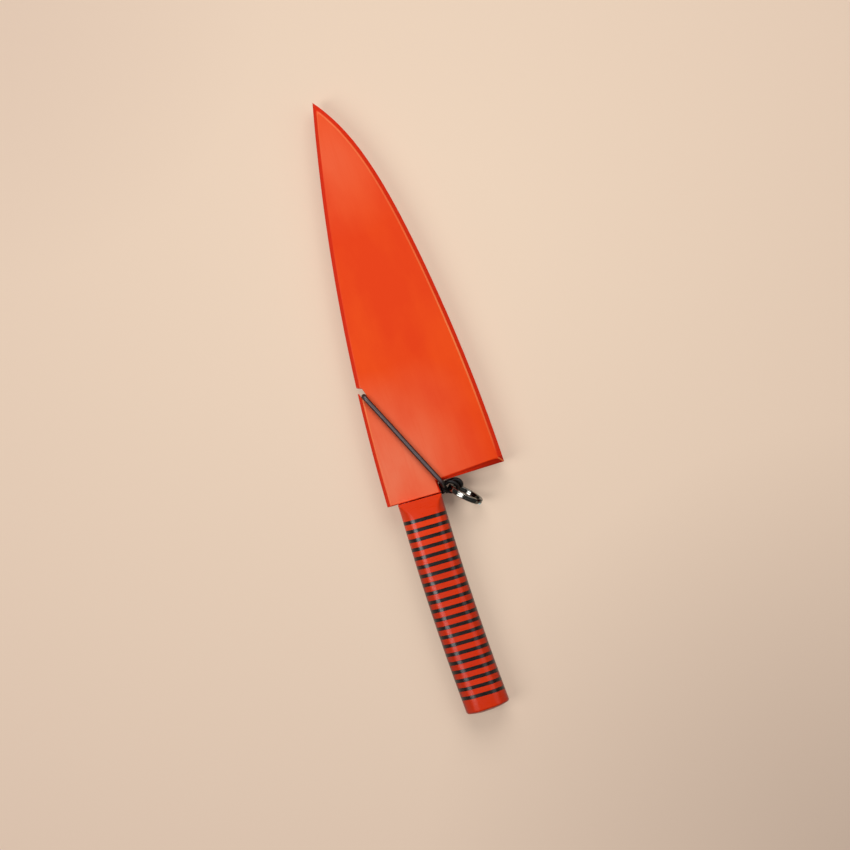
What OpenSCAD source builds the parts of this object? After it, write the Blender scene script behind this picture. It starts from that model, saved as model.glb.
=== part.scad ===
// Chef's knife in its painted wooden blade guard, held by an elastic cord with a pull ring.
// +Y runs from the handle to the tip, +X to the cutting edge, +Z up off the front face.
// The origin is under the middle of the whole object, on the surface it lies on. The formulas count
// from the tang's centre line and a point just behind the guard's neck end, and seated() moves all.

/* [Guard outline] */
// Length of the guard from its neck end to its tip
guard_length = 222; // [200:1:250]
// Greatest width of the guard, from its spine side to its belly
guard_width = 68.1; // [64:0.1:76]
// Distance of the spine side from the tang's centre line at the neck end
neck_spine_side = 16.8; // [16:0.1:18]
// How far the neck's other side stands out beyond the handle's
neck_step = 0; // [-0.5:0.1:1.5]
// Distance from y = 0 to the middle of the neck end
neck_start = 1.05; // [0.5:0.05:1.5]
// Distance from y = 0 to the inner end of the heel face
heel_start = 6.3; // [6:0.1:8]
// Slant of the neck end and of the handle's rings, in degrees
end_slant = 2.7; // [0:0.1:4]
// Slant of the heel face, in degrees
heel_slant = 1.4; // [0:0.1:2]
// Radius of the arc along the spine side
spine_radius = 1078; // [950:1:1200]
// Distance of the spine arc's lowest point behind y = 0
spine_arc_start = 39.4; // [20:0.1:45]
// Distance from y = 0 to where the belly is widest
belly_start = 12; // [8:0.5:16]
// How far the belly has drawn in at the tip by its even curve
belly_drop = 22.7; // [20:0.1:26]
// Power of the belly's even curve
belly_power = 1.9; // [1.7:0.05:2.2]
// How much more the belly draws in close to the tip
tip_drop = 12.8; // [8:0.1:16]
// Power of the curve close to the tip
tip_power = 8.8; // [8:0.1:14]

/* [Guard layers] */
// Thickness of each cover board
cover_thickness = 5; // [4:0.5:7]
// Thickness of the core strips between the covers
core_thickness = 3; // [3:0.1:4]
// Width of the core strip along the spine
spine_strip_width = 6.8; // [6.5:0.1:8]
// Width of the core strip along the cutting edge
edge_strip_width = 7.6; // [6:0.1:10]
// Depth of the bevels round each cover
bevel_depth = 2.2; // [1:0.1:3]
// Width of the bevel along the spine
spine_bevel = 1.8; // [1:0.1:2.5]
// Width of the bevel along the belly
belly_bevel = 2.4; // [1:0.1:3]
// Width of the bevel along the neck's other side
neck_bevel = 0.5; // [0.3:0.05:1]
// Width of the heel bevel at the outer corner
heel_bevel_outer = 2.9; // [1.5:0.1:3.5]
// Width of the heel bevel at the inner corner
heel_bevel_inner = 1.3; // [0.6:0.1:2]

/* [Hook notch] */
// Width of the notch that the cord hooks into
notch_width = 3; // [2.8:0.1:3.4]
// Distance from y = 0 to the notch's inner end
notch_y = 63.1; // [55:0.1:75]
// Depth of the notch's inner end from the spine side
notch_depth = 3; // [2.8:0.1:3.6]
// How far the notch runs on from its inner end towards the tip before it turns outward
notch_hook = 3.2; // [2.5:0.1:4.5]
// How far it leans outward on that way
notch_lean = 0.9; // [0:0.1:1.5]
// Slant of the notch's mouth towards the tip, in degrees
notch_slant = 22; // [0:1:30]

/* [Blade] */
// Thickness of the blade at its spine
blade_thickness = 2.2; // [1.8:0.1:2.4]
// Thickness of the ground edge
edge_thickness = 0.4; // [0.3:0.1:0.8]
// Clearance between the blade and the core strips
blade_clearance = 0.5; // [0.4:0.1:1]
// Distance of the blade's heel inside the guard's heel face
heel_inset = 5; // [4:0.5:8]
// Width of the blade's neck between heel and bolster
blade_neck = 18; // [14:0.5:20]
// Width of the tang
tang_width = 8; // [6:0.5:10]
// Clearance round the tang
tang_clearance = 0.1; // [0.1:0.05:0.3]

/* [Handle] */
// Width of the handle
handle_width = 24.4; // [22:0.1:25]
// Thickness of the handle
handle_thickness = 19; // [18:0.5:22]
// Length of the bolster
bolster_length = 9.8; // [7:0.1:12]
// Gap between the guard and the bolster
bolster_gap = 0.3; // [0.2:0.1:1]
// Thickness of a black ring
black_ring_thickness = 2; // [1.5:0.1:2.5]
// Thickness of an orange ring
orange_ring_thickness = 3; // [2.5:0.1:3.5]
// Length of the end cap
end_cap_length = 9.2; // [8:0.1:11]
// Width of the handle's corner facets at the first ring
facet = 4.6; // [3.8:0.1:5.5]
// Radius where the facets meet the flats at the first ring
facet_round = 5; // [1:0.5:5.5]
// Width of the corner facets at the butt
butt_facet = 5.8; // [4:0.1:6.5]
// Radius where the facets meet the flats at the butt
butt_facet_round = 6; // [1:0.5:6.5]
// Slant of the butt's end, which is turned less than the rings
butt_slant = -0.6; // [-2:0.1:3]
// Radius round the end cap's butt
butt_round = 1.4; // [0.6:0.1:2]
// Depth of the butt's dome
butt_dome = 1.4; // [0.5:0.1:2]
// Radius of the handle's bow
bow_radius = 1430; // [1200:10:3000]
// Distance from y = 0 to the middle of the bow
bow_middle = 70; // [50:1:80]
// How far the middle of the bow lies to the spine side of the tang's centre line
bow_side = 0.5; // [0:0.1:0.8]

/* [Cord and ring] */
// Diameter of the elastic cord
cord_d = 2.6; // [2.2:0.1:2.6]
// Gap between the cord and the guard's faces
cord_gap = 0.3; // [0.3:0.1:0.6]
// Diameter of the cord in the eye, where the stretch thins it
eye_d = 2; // [1.8:0.1:2]
// Width of the knot
knot_d = 3.4; // [3:0.1:3.4]
// Gap between the knot and the side of the bolster
knot_gap = 0.3; // [0.2:0.1:1]
// Outer diameter of the pull ring
ring_d = 20.4; // [18:0.1:21]
// Width of the ring's wire across the ring
ring_wire = 2.2; // [1.8:0.1:2.3]
// Thickness of each of the ring's two turns
ring_turn = 1.4; // [1.2:0.1:1.5]
// Width of the broken corners of the ring's wire
ring_chamfer = 0.35; // [0.1:0.05:0.5]
// Angle between the ring's plane and the ground
ring_tilt = 80; // [74:1:84]
// Gap between the ring and the ground
ring_lift = 0.1; // [0.1:0.1:1]

/* [Hidden] */
black_rings = 21;
orange_rings = black_rings - 1;
first_black = 6;
first_orange = first_black + black_rings;

mid_z = handle_thickness / 2;
core_low = mid_z - core_thickness / 2;
core_high = mid_z + core_thickness / 2;
front_z = core_high + cover_thickness;
belly_side = guard_width - neck_spine_side;
slant = tan(end_slant);
handle_side = bow_x(0) + handle_width / 2;
neck_edge_side = handle_side + neck_step;
steps = 26;
station_spread = 1.6;
tiny = 0.01;
// Overlap of two shapes that make up one piece, and of a cutter beyond what it cuts
lap = 1;
orange = [0.90, 0.28, 0.12];
deep_orange = [0.84, 0.20, 0.06];
black = [0.09, 0.09, 0.10];
steel = [0.75, 0.76, 0.78];

// The slanted ends of the guard at a distance x from the tang's centre line
function neck_end(x) = neck_start - x * slant;
function heel_face(x) = heel_start - (x - neck_edge_side) * tan(heel_slant);

// The spine side of the guard and its slope at a distance y from the neck end
function spine_x(y) = let (v = y + spine_arc_start, v0 = spine_arc_start)
    -neck_spine_side + sqrt(pow(spine_radius, 2) - pow(v0, 2)) - sqrt(pow(spine_radius, 2) - pow(v, 2));
function spine_slope(y) = let (v = y + spine_arc_start) v / sqrt(pow(spine_radius, 2) - pow(v, 2));

// The belly side in the same way
function belly_u(y) = (y - belly_start) / (guard_length - belly_start);
function belly_x(y) = let (u = belly_u(y))
    belly_side - belly_drop * pow(abs(u), belly_power) - tip_drop * pow(abs(u), tip_power);
function belly_slope(y) = (belly_x(y + tiny) - belly_x(y - tiny)) / (2 * tiny);

// Both sides, drawn in by a distance measured square to the curve
function spine_in(y, d) = spine_x(y) + d * sqrt(1 + pow(spine_slope(y), 2));
function belly_in(y, d) = belly_x(y) - d * sqrt(1 + pow(belly_slope(y), 2));

// Where the drawn-in sides meet, found by halving
function meet(a, b, low, high, n = 30) = let (y = (low + high) / 2)
    n == 0 ? y : belly_in(y, b) > spine_in(y, a) ? meet(a, b, y, high, n - 1) : meet(a, b, low, y, n - 1);
function tip_y(a, b) = meet(a, b, guard_length * 0.6, guard_length * 1.1);

// Stations lie closer together towards the tip, where the belly turns
function station(i, low, high) = low + (high - low) * (1 - pow(1 - i / steps, station_spread));
function spine_line(a, b, low) = let (high = tip_y(a, b))
    [for (i = [0:steps]) let (y = station(i, low, high)) [spine_in(y, a), y]];
function belly_line(a, b, low) = let (high = tip_y(a, b))
    [for (i = [steps - 1:-1:0]) let (y = station(i, low, high)) [belly_in(y, b), y]];

// The guard's outline, drawn in by its bevel widths times k
function guard_outline(k) = let (
    a = k * spine_bevel, b = k * belly_bevel, side = neck_edge_side - k * neck_bevel)
    concat(
        spine_line(a, b, neck_end(a - neck_spine_side)),
        belly_line(a, b, heel_face(belly_side) + k * heel_bevel_outer),
        [[side, heel_face(side) + k * heel_bevel_inner], [side, neck_end(side)]]
    );

// The blade lies in the space between the core strips
blade_a = spine_strip_width + blade_clearance;
blade_b = edge_strip_width + blade_clearance;
heel_y = heel_start + heel_inset;
blade_top = spine_in(0, blade_a);

// The handle's centre line is a shallow arc, and its pieces follow each other down from the guard
function bow_x(y) = pow(y + bow_middle, 2) / (2 * bow_radius) - bow_side;
handle_start = neck_end(bow_x(0)) - bolster_gap;
rings_start = handle_start - bolster_length;
ring_pitch = black_ring_thickness + orange_ring_thickness;
cap_start = rings_start - black_rings * ring_pitch + orange_ring_thickness;
butt_y = cap_start - end_cap_length;
tang_end = cap_start - end_cap_length / 2;

// Moves a piece to the frame whose origin is under the middle of the whole object
spine_low = spine_x(neck_end(-neck_spine_side));
module seated() {
    translate([-(spine_low + belly_side) / 2, -(tip_y(0, 0) + butt_y) / 2, 0]) children();
}

// The hooked notch: its inner end, the bend towards the tip and the mouth in the spine side
notch_end = [spine_x(notch_y) + notch_depth, notch_y];
notch_bend = notch_end + [-notch_lean, notch_hook];
notch_side = [notch_hook, notch_lean] / norm([notch_hook, notch_lean]) * notch_width / 2;
notch_sides = 32;
mouth_length = 8;
module notch_cut() {
    translate([0, 0, -lap]) linear_extrude(front_z + 2 * lap) {
        translate(notch_end) circle(d = notch_width, $fn = notch_sides);
        translate(notch_bend) circle(d = notch_width, $fn = notch_sides);
        polygon([
            notch_end - notch_side, notch_end + notch_side, notch_bend + notch_side, notch_bend - notch_side
        ]);
        translate(notch_bend) rotate(-notch_slant) translate([-mouth_length, -notch_width / 2])
            square([mouth_length, notch_width]);
    }
}

// The guard's flat face as strips from side to side, and the neck's own strip
function cap_faces(first) = [for (f = concat(
        [[0, 1, 2 * steps + 1, 2 * steps + 2], [1, 2 * steps, 2 * steps + 1], [1, 2 * steps - 1, 2 * steps]],
        [for (i = [1:steps - 2]) [i, i + 1, 2 * steps - i - 1, 2 * steps - i]],
        [[steps - 1, steps, steps + 1]]
    )) [for (i = f) first + i]];
function turned_over(faces) = [for (f = faces) [for (i = [len(f) - 1:-1:0]) f[i]]];

// A board with the guard's outline and a bevel round its outer face, which looks up or down
module bevelled_board(up) {
    low = guard_outline(0);
    high = guard_outline(1);
    n = len(low);
    wall = cover_thickness - bevel_depth;
    points = concat(
        [for (p = low) [p[0], p[1], 0]],
        [for (p = low) [p[0], p[1], up * wall]],
        [for (p = high) [p[0], p[1], up * cover_thickness]]
    );
    faces = concat(
        turned_over(cap_faces(0)), cap_faces(2 * n),
        [for (k = [0, 1]) for (i = [0:n - 1]) let (j = (i + 1) % n)
            [k * n + i, k * n + j, k * n + n + i]],
        [for (k = [0, 1]) for (i = [0:n - 1]) let (j = (i + 1) % n)
            [k * n + j, k * n + n + j, k * n + n + i]]
    );
    polyhedron(points, up > 0 ? faces : turned_over(faces));
}

module front_cover() {
    color(orange) seated() difference() {
        translate([0, 0, core_high]) bevelled_board(1);
        notch_cut();
    }
}

module back_cover() {
    color(orange) seated() difference() {
        translate([0, 0, core_low]) bevelled_board(-1);
        notch_cut();
    }
}

module spine_strip() {
    inner = -neck_spine_side + spine_strip_width;
    slot = spine_line(spine_strip_width, edge_strip_width, neck_end(inner));
    rim = spine_line(0, 0, neck_end(-neck_spine_side));
    color(deep_orange) seated() difference() {
        translate([0, 0, core_low]) linear_extrude(core_thickness)
            polygon(concat(rim, [for (i = [steps:-1:0]) slot[i]]));
        notch_cut();
    }
}

module edge_strip() {
    slot = belly_line(spine_strip_width, edge_strip_width, heel_face(belly_side - edge_strip_width));
    rim = belly_line(0, 0, heel_face(belly_side));
    tips = [spine_line(0, 0, 0)[steps], spine_line(spine_strip_width, edge_strip_width, 0)[steps]];
    color(deep_orange) seated() translate([0, 0, core_low]) linear_extrude(core_thickness)
        polygon(concat([tips[0]], rim, [for (i = [steps - 1:-1:0]) slot[i]], [tips[1]]));
}

// The blade tapers from its spine to its ground edge
module blade_plate() {
    top = spine_line(blade_a, blade_b, heel_y);
    edge = concat([for (i = [steps - 1:-1:0]) belly_line(blade_a, blade_b, heel_y)[i]], [top[steps]]);
    t = blade_thickness / 2;
    e = edge_thickness / 2;
    n = steps + 1;
    points = concat(
        [for (i = [0:steps]) [top[i][0], top[i][1], i == steps ? -e : -t]],
        [for (i = [0:steps]) [edge[i][0] + (i == steps ? tiny : 0), edge[i][1], -e]],
        [for (i = [0:steps]) [edge[i][0] + (i == steps ? tiny : 0), edge[i][1], e]],
        [for (i = [0:steps]) [top[i][0], top[i][1], i == steps ? e : t]]
    );
    faces = concat(
        [[3 * n, 2 * n, n, 0], [n + steps, 2 * n + steps, 3 * n + steps, steps]],
        [for (k = [0:3]) for (i = [0:steps - 1]) let (a = k * n, b = (k + 1) % 4 * n)
            [a + i, b + i, a + i + 1]],
        [for (k = [0:3]) for (i = [0:steps - 1]) let (a = k * n, b = (k + 1) % 4 * n)
            [a + i + 1, b + i, b + i + 1]]
    );
    translate([0, 0, mid_z]) polyhedron(points, faces);
}

// The blade's neck ends square on the bolster's slanted face, and its tang runs on into the handle
function bolster_top(x) = handle_start - (x - bow_x(handle_start)) * slant;
module blade() {
    neck_side = blade_top + blade_neck;
    color(steel) seated() {
        blade_plate();
        translate([0, 0, mid_z - blade_thickness / 2]) linear_extrude(blade_thickness) polygon([
            [blade_top, bolster_top(blade_top)], [neck_side, bolster_top(neck_side)],
            [neck_side, heel_y + lap / 2], [blade_top, heel_y + lap / 2]
        ]);
        translate([-tang_width / 2, tang_end, mid_z - blade_thickness / 2])
            cube([tang_width, bolster_top(-tang_width / 2) + lap - tang_end, blade_thickness]);
    }
}

// The handle's cross-section, from the middle of one flat round to the next
half_w = handle_width / 2;
half_t = handle_thickness / 2;
function corner(p, from, to, r, n = 4) = let (
        a = (from - p) / norm(from - p), b = (to - p) / norm(to - p),
        half = acos(a * b) / 2, c = p + (a + b) / norm(a + b) * r / sin(half),
        s = p + a * r / tan(half), e = p + b * r / tan(half),
        a0 = atan2(s[1] - c[1], s[0] - c[0]), a1 = atan2(e[1] - c[1], e[0] - c[0]),
        turn = (a1 - a0 + 540) % 360 - 180)
    [for (i = [0:n]) c + r * [cos(a0 + turn * i / n), sin(a0 + turn * i / n)]];
function octagon(f) = [
    [half_w - f, -half_t], [half_w, -half_t + f], [half_w, half_t - f], [half_w - f, half_t],
    [-half_w + f, half_t], [-half_w, half_t - f], [-half_w, -half_t + f], [-half_w + f, -half_t]
];
function section(f = facet, r = facet_round) = let (o = octagon(f))
    [for (i = [0:7]) each corner(o[i], o[(i + 7) % 8], o[(i + 1) % 8], r)];

// The cross-section at y, whose facets grow wider and rounder from the first ring to the butt
function along(y) = (rings_start - y) / (rings_start - butt_y);
function section_at(y) = section(
    facet + (butt_facet - facet) * along(y), facet_round + (butt_facet_round - facet_round) * along(y));

module tang_hole(low, high) {
    translate([-tang_width / 2 - tang_clearance, low, mid_z - blade_thickness / 2 - tang_clearance])
        cube([tang_width + 2 * tang_clearance, high - low, blade_thickness + 2 * tang_clearance]);
}

// Leans a piece that was made square on the y axis, so that it follows the bow from high to low
module bowed(high, low) {
    lean = (bow_x(high) - bow_x(low)) / (high - low);
    multmatrix([[1, lean, 0, bow_x(high)], [-slant, 1, 0, high], [0, 0, 1, mid_z]]) children();
}

// A slice of the handle from y = high down by its thickness
module handle_slice(high, thickness) {
    difference() {
        bowed(high, high - thickness) rotate([90, 0, 0]) linear_extrude(thickness)
            polygon(section_at(high));
        tang_hole(high - thickness - lap, high + lap);
    }
}

// The bolster is square at the guard, and its corner facets grow towards the first ring
bolster_levels = 6;
facet_curve = 1.5;
least_facet = 0.1;
function bolster_facet(t) = max(least_facet, facet * (1 - pow(t, facet_curve)));
module bolster() {
    n = len(section());
    levels = [for (i = [0:bolster_levels]) let (f = bolster_facet(i / bolster_levels))
        section(f, facet_round * f / facet)];
    points = [for (i = [0:bolster_levels]) let (y = rings_start + bolster_length * i / bolster_levels)
        for (p = levels[i]) [p[0] + bow_x(y), y - p[0] * slant, mid_z + p[1]]];
    faces = concat(
        [[for (k = [n - 1:-1:0]) k]],
        [[for (k = [0:n - 1]) bolster_levels * n + k]],
        [for (i = [0:bolster_levels - 1]) for (k = [0:n - 1]) let (q = (k + 1) % n)
            [i * n + k, i * n + q, (i + 1) * n + k]],
        [for (i = [0:bolster_levels - 1]) for (k = [0:n - 1]) let (q = (k + 1) % n)
            [i * n + q, (i + 1) * n + q, (i + 1) * n + k]]
    );
    color(deep_orange) seated() difference() {
        polyhedron(points, faces);
        tang_hole(rings_start - lap, handle_start + lap);
    }
}

function black_start(i) = rings_start - i * ring_pitch;

module black_ring(i) {
    color(black) seated() handle_slice(black_start(i), black_ring_thickness);
}

module orange_ring(i) {
    color(orange) seated() handle_slice(black_start(i) - black_ring_thickness, orange_ring_thickness);
}

// The butt is a loft whose rounded rim runs into a flat dome
butt_levels = 5;
function butt_share(i) = sin(90 * i / butt_levels);
function cap_lean(y) = slant + (tan(butt_slant) - slant) * (cap_start - y) / end_cap_length;
module end_cap() {
    n = len(section());
    straight = end_cap_length - butt_dome - butt_round;
    rim = [for (i = [0:butt_levels])
        [straight + butt_round * butt_share(i), butt_round * (1 - butt_share(butt_levels - i))]];
    dome = [for (t = [0.4, 0.75])
        [end_cap_length - butt_dome * pow(1 - t, 2), butt_round + t * (half_t - butt_round)]];
    levels = concat([[0, 0]], rim, dome);
    points = concat(
        [for (l = levels) let (y = cap_start - l[0], k = [1 - l[1] / half_w, 1 - l[1] / half_t])
            for (p = section_at(y))
                [p[0] * k[0] + bow_x(y), y - p[0] * k[0] * cap_lean(y), mid_z + p[1] * k[1]]],
        [[bow_x(butt_y), butt_y, mid_z]]
    );
    last = len(levels) - 1;
    faces = concat(
        [[for (k = [0:n - 1]) k]],
        [for (i = [0:last - 1]) for (k = [0:n - 1]) let (q = (k + 1) % n)
            [i * n + q, i * n + k, (i + 1) * n + k]],
        [for (i = [0:last - 1]) for (k = [0:n - 1]) let (q = (k + 1) % n)
            [(i + 1) * n + q, i * n + q, (i + 1) * n + k]],
        [for (k = [0:n - 1]) [last * n + (k + 1) % n, last * n + k, (last + 1) * n]]
    );
    color(deep_orange) seated() difference() {
        polyhedron(points, faces);
        tang_hole(tang_end - tang_clearance, cap_start + lap);
    }
}

// The elastic runs up from the knot, over the front face, down through the notch and back below
knot_x = handle_side + knot_gap + knot_d / 2;
strand_z = front_z - mid_z + cord_d / 2 + cord_gap;
strand_start = [knot_x - 1, 8.3];
strand_end = [notch_end[0] + 0.64, notch_end[1] - 1.7];
half_loop = concat(
    [[knot_x + 0.2, 3.4, 3.6], [knot_x + 0.2, 4.4, 5.8], [knot_x - 0.1, 6.1, 7.6]],
    [for (t = [0, 0.12, 0.27, 0.47, 0.68, 0.84, 0.95])
        [each (1 - t) * strand_start + t * strand_end, strand_z]],
    [[strand_end[0], strand_end[1], strand_z - 0.1]],
    [[notch_end[0] + 0.14, notch_end[1] - 0.5, strand_z - 0.6]]
);
turn = [for (z = [6, 3, 0, -3, -6]) [notch_end[0], notch_end[1], z]];
elastic_route = concat(half_loop, turn, [for (i = [len(half_loop) - 1:-1:0])
    [half_loop[i][0], half_loop[i][1], -half_loop[i][2]]]);
loop_side = [0.92, 0.39, 0];

// The eye leaves the knot, goes round the ring's wire and through the ring, and comes back lower
eye_turns = [
    [0.4, 3.2, 10.4], [2.4, 4.6, 10.6], [4.8, 4.8, 10.8], [7, 4.75, 11], [8.8, 3.9, 11],
    [9.9, 2.3, 10.8], [10, 0.5, 10.4], [9.1, -1, 9.8], [7.3, -1.9, 9.2], [5.1, -2, 8.7],
    [3, -1.5, 8.6], [0.8, -0.6, 8.8]
];
eye_route = [for (p = eye_turns) [knot_x + p[0], p[1], p[2]]];
knot_high = [knot_x, 3.2];
knot_low = [knot_x + 0.2, -0.4];
knot_half = 1.6;
knot_taper = 0.7;
knot_sides = 20;

// The ring stands on its rim, leaning back, and swings about the wire that the eye holds
ring_hold = [knot_x + 3.8, 1.8];
ring_angle = -45;
ring_sides = 96;
ring_reach = ring_d / 2 - ring_wire / 2;
ring_z = ring_d / 2 * sin(ring_tilt) + ring_turn * cos(ring_tilt) + ring_lift;
ring_middle = ring_hold + ring_reach * [cos(ring_angle), sin(ring_angle)];

// A tube of even width along a list of points, with side as the way its first edge faces
function unit(v) = v / norm(v);
function path_way(path, i) = unit(path[min(i + 1, len(path) - 1)] - path[max(i - 1, 0)]);
module tube(path, d, side, sides = 8) {
    n = len(path);
    points = [for (i = [0:n - 1])
        let (w = path_way(path, i), u = unit(side - (side * w) * w), v = cross(u, w))
        for (k = [0:sides - 1]) let (a = 360 * k / sides) path[i] + d / 2 * (cos(a) * u + sin(a) * v)];
    faces = concat(
        [[for (k = [sides - 1:-1:0]) k]],
        [[for (k = [0:sides - 1]) (n - 1) * sides + k]],
        [for (i = [0:n - 2]) for (k = [0:sides - 1]) let (q = (k + 1) % sides)
            [i * sides + k, i * sides + q, (i + 1) * sides + k]],
        [for (i = [0:n - 2]) for (k = [0:sides - 1]) let (q = (k + 1) % sides)
            [i * sides + q, (i + 1) * sides + q, (i + 1) * sides + k]]
    );
    polyhedron(points, faces);
}

module elastic_cord() {
    color(black) seated() translate([0, 0, mid_z]) tube(elastic_route, cord_d, loop_side);
}

module cord_eye() {
    color(black) seated() tube(eye_route, eye_d, [0, 0, 1]);
}

module cord_knot() {
    color(black) seated() hull() {
        for (side = [-1, 1]) {
            translate([knot_high[0], knot_high[1], mid_z + side * knot_half])
                sphere(d = knot_d, $fn = knot_sides);
            translate([knot_low[0], knot_low[1], mid_z + side * knot_half * knot_taper])
                sphere(d = knot_d, $fn = knot_sides);
        }
    }
}

// One turn of the ring's flat wire, with its corners broken
module ring_section(low) {
    r = ring_d / 2;
    c = ring_chamfer;
    polygon([
        [r - ring_wire + c, low], [r - c, low], [r, low + c], [r, low + ring_turn - c],
        [r - c, low + ring_turn], [r - ring_wire + c, low + ring_turn],
        [r - ring_wire, low + ring_turn - c], [r - ring_wire, low + c]
    ]);
}

module pull_ring() {
    color(steel) seated() translate([ring_middle[0], ring_middle[1], ring_z])
        rotate([0, 0, ring_angle]) rotate([180 - ring_tilt, 0, 0])
            rotate_extrude($fn = ring_sides) {
                ring_section(0);
                ring_section(-ring_turn);
            }
}

front_cover();
back_cover();
spine_strip();
edge_strip();
blade();
bolster();
for (i = [0:black_rings - 1]) {
    black_ring(i);
}
for (i = [0:orange_rings - 1]) {
    orange_ring(i);
}
end_cap();
elastic_cord();
cord_knot();
cord_eye();
pull_ring();
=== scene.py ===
"""A chef's knife in its painted blade guard, seen from straight above on peach paper."""

import math

import bmesh
import bpy
from mathutils import Matrix, Vector


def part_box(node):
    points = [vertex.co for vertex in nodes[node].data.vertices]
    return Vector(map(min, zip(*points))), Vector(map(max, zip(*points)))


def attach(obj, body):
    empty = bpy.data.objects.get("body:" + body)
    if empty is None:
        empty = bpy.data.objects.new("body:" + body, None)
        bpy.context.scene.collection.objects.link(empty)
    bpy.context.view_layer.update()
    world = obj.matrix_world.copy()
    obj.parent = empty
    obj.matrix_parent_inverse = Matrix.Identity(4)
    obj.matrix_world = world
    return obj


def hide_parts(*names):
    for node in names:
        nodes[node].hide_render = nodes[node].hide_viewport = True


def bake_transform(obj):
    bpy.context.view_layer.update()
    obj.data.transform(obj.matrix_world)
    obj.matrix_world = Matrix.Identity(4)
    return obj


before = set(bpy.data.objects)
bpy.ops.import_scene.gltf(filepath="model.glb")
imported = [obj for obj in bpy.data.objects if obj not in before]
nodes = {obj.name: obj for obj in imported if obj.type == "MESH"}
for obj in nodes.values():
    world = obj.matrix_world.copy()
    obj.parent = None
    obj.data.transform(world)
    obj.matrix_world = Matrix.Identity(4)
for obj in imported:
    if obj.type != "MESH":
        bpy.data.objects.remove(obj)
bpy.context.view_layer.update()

MM = 0.001
BLACK_RINGS = sorted(n for n in nodes if n.startswith("black_ring_"))
ORANGE_RINGS = sorted(n for n in nodes if n.startswith("orange_ring_"))

# Places are counted in millimetres from the tang's centre line, as in the construction. The front
# cover starts 16.731 mm to the left of that line, and its neck end reaches down to 0.418 mm.
COVER_LEFT = -16.731
COVER_LOW = 0.418
neck_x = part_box("front_cover")[0].x - COVER_LEFT * MM
neck_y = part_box("front_cover")[0].y - COVER_LOW * MM
HALF_W = 12.2
HALF_T = 9.5
MID_Z = HALF_T
FRONT_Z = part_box("front_cover")[1].z / MM


def place(x, y, z):
    """A point given in millimetres from the tang's centre line, in the frame's metres."""
    return Vector((neck_x + x * MM, neck_y + y * MM, z * MM))


# Materials


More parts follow.
